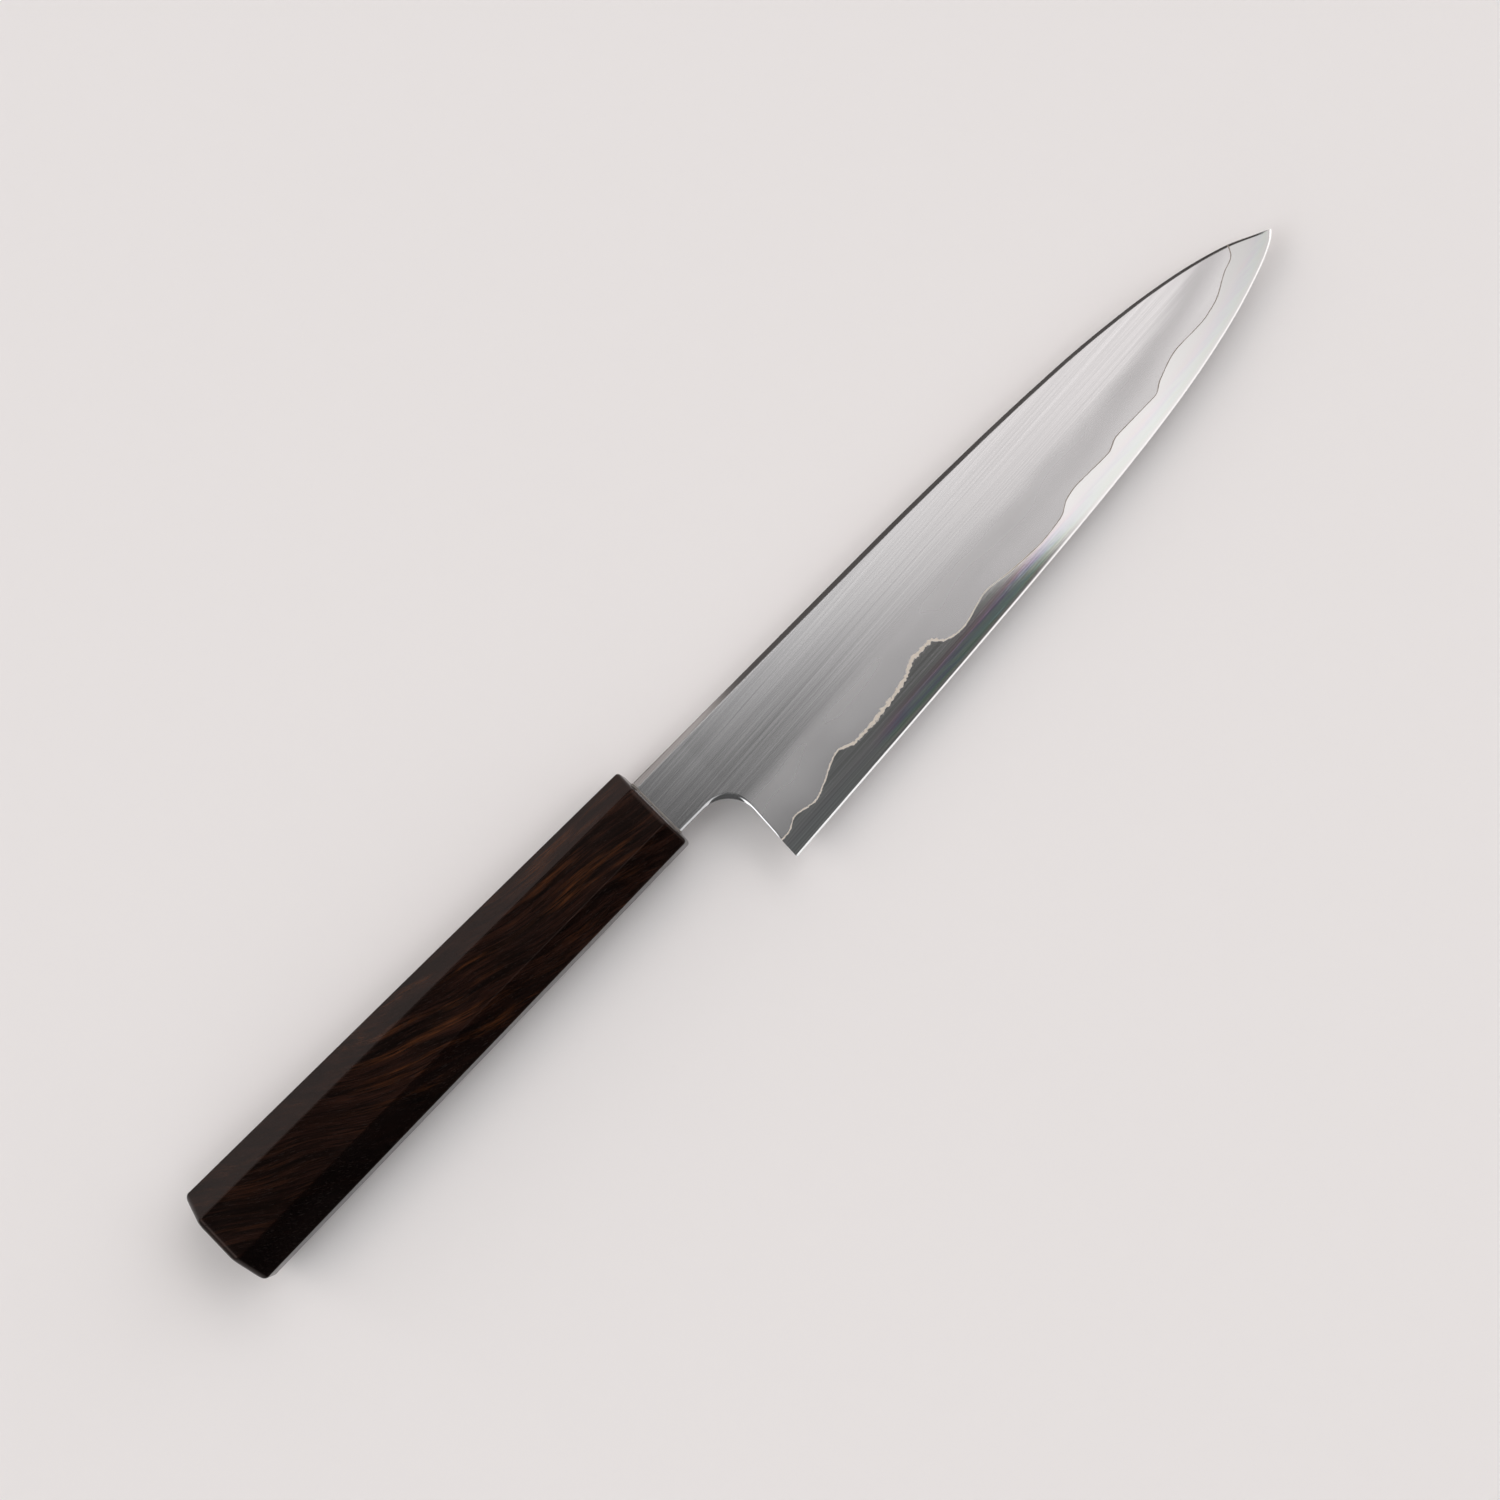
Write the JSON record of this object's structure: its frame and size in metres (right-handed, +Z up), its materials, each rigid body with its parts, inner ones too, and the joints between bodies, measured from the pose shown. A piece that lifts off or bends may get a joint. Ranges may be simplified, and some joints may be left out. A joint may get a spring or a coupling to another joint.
{
  "type": "chef knife",
  "caption": "Laminated steel chef's knife with a polished hard core along the edge, brushed side layers and an octagonal dark wood handle.",
  "frame": {"origin": "under the middle of the knife's box, on the surface that the handle's lower side lies on", "axes": "+X towards the tip, +Y towards the spine, +Z up from the surface, out of the blade's right side"},
  "size_m": [0.337, 0.045, 0.0222],
  "materials": {
    "core_steel": "hard carbon steel, fine polish with lengthwise scratches and a faint oxide tint",
    "cladding_steel": "satin, brushed lengthwise",
    "dark_wood": "near-black hardwood with red-brown streaks, oiled satin",
    "bedding_resin": "cured resin, tinted dark brown",
    "clear_resin": "cured pale resin"
  },
  "bodies": {
    "root": {"core_steel": "core_steel", "cladding_right": "cladding_steel", "cladding_left": "cladding_steel", "handle_body": "dark_wood", "tang_adhesive": "bedding_resin", "neck_seal": "clear_resin"}
  },
  "joints": []
}
